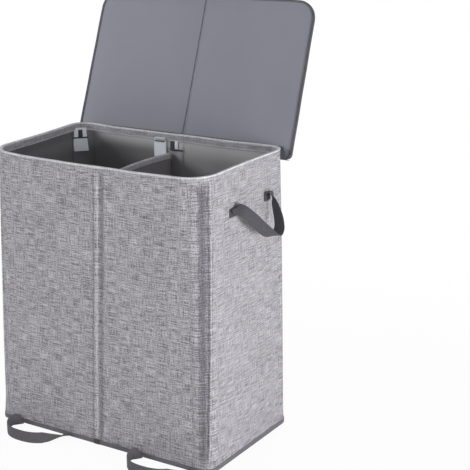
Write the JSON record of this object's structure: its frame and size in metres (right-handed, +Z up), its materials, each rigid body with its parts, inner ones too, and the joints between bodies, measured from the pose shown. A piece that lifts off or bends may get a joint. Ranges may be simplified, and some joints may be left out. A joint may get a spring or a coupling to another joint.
{
  "type": "laundry hamper",
  "caption": "Linen-covered folding laundry hamper with side-by-side bins, a board divider, a lid that leans back open, and webbing carry and pull handles.",
  "frame": {"origin": "centre of the base's underside, on the floor", "axes": "+Z up, +X to the hamper's right seen from its front, -Y out of the front where the floor handles lie"},
  "size_m": [0.704, 0.5703, 0.9803],
  "materials": {
    "cloth": "matte linen weave",
    "hem_cloth": "matte linen weave",
    "board": "plain pressed board, hidden",
    "lining": "coated cloth, soft sheen",
    "lid_lining": "smooth cloth, soft sheen",
    "binding_tape": "matte woven tape",
    "webbing": "ribbed webbing",
    "tab_webbing": "light webbing"
  },
  "bodies": {
    "base_and_back": {"tab_left_bin_side": "tab_webbing", "tab_bar_left_bin_side": "binding_tape", "base": "lining", "cover_back": "cloth", "board_back_left": "board", "board_back_right": "board", "lining_back": "lining", "rim_back": "hem_cloth", "binding_back": "binding_tape", "corner_back_left": "cloth", "binding_corner_back_left": "binding_tape", "divider_seam_back": "lining", "tab_left_bin_middle": "tab_webbing", "tab_bar_left_bin_middle": "binding_tape", "tab_right_bin_middle": "tab_webbing", "tab_bar_right_bin_middle": "binding_tape", "lid_hinge_strip": "binding_tape"},
    "right_wall": {"cover_right": "cloth", "board_right": "board", "lining_right": "lining", "rim_right": "hem_cloth", "binding_right": "binding_tape", "corner_back_right": "cloth", "binding_corner_back_right": "binding_tape", "tab_right_bin_side": "tab_webbing", "tab_bar_right_bin_side": "binding_tape"},
    "front_wall": {"cover_front": "cloth", "board_front_left": "board", "board_front_right": "board", "lining_front": "lining", "rim_front": "hem_cloth", "binding_front": "binding_tape", "corner_front_right": "cloth", "binding_corner_front_right": "binding_tape", "divider_seam_front": "lining"},
    "left_wall": {"cover_left": "cloth", "board_left": "board", "lining_left": "lining", "rim_left": "hem_cloth", "binding_left": "binding_tape", "corner_front_left": "cloth", "binding_corner_front_left": "binding_tape"},
    "divider": {"divider_board": "board", "divider_cover": "lining", "divider_hem": "hem_cloth"},
    "lid": {"lid_lining": "lid_lining", "lid_cover": "cloth", "lid_board_left": "board", "lid_board_right": "board", "lid_binding": "binding_tape"},
    "side_handle_right": {"side_handle_right": "webbing"},
    "side_handle_left": {"side_handle_left": "webbing"},
    "floor_handle_left": {"floor_handle_left": "webbing"},
    "floor_handle_right": {"floor_handle_right": "webbing"}
  },
  "joints": [
    {"name": "fold_right_wall", "type": "hinge", "parent": "base_and_back", "child": "right_wall", "pos_m": [0.28682, 0.16182, 0], "axis": [0, 0, -1], "range_deg": [0, 80], "deforming": ["corner_back_right", "binding_corner_back_right", "corner_back_left", "binding_corner_back_left", "base"]},
    {"name": "fold_front_wall", "type": "hinge", "parent": "right_wall", "child": "front_wall", "pos_m": [0.28682, -0.16182, 0], "axis": [0, 0, 1], "range_deg": [0, 80], "deforming": ["corner_front_right", "binding_corner_front_right"]},
    {"name": "fold_left_wall", "type": "hinge", "parent": "front_wall", "child": "left_wall", "pos_m": [-0.28682, -0.16182, 0], "axis": [0, 0, -1], "range_deg": [0, 80], "deforming": ["corner_front_left", "binding_corner_front_left"]},
    {"name": "fold_divider", "type": "hinge", "parent": "base_and_back", "child": "divider", "pos_m": [-0.02, 0.16182, 0], "axis": [0, 0, -1], "range_deg": [0, 80]},
    {"name": "lid_hinge", "type": "hinge", "parent": "base_and_back", "child": "lid", "pos_m": [0, 0.177, 0.654], "axis": [1, 0, 0], "range_deg": [0, 110], "deforming": ["lid_hinge_strip"]},
    {"name": "side_handle_right_lift", "type": "hinge", "parent": "right_wall", "child": "side_handle_right", "pos_m": [0.303, 0, 0.598], "axis": [0, -1, 0], "range_deg": [0, 90]},
    {"name": "side_handle_left_lift", "type": "hinge", "parent": "left_wall", "child": "side_handle_left", "pos_m": [-0.303, 0, 0.598], "axis": [0, 1, 0], "range_deg": [0, 90]},
    {"name": "floor_handle_left_lift", "type": "hinge", "parent": "front_wall", "child": "floor_handle_left", "pos_m": [-0.174, -0.1768, 0.0285], "axis": [-1, 0, 0], "range_deg": [0, 90]},
    {"name": "floor_handle_right_lift", "type": "hinge", "parent": "front_wall", "child": "floor_handle_right", "pos_m": [0.174, -0.1768, 0.0285], "axis": [-1, 0, 0], "range_deg": [0, 90]}
  ],
  "couplings": [
    {"joint": "fold_front_wall", "follows": "fold_right_wall", "ratio": 1},
    {"joint": "fold_left_wall", "follows": "fold_right_wall", "ratio": 1},
    {"joint": "fold_divider", "follows": "fold_right_wall", "ratio": 1}
  ]
}
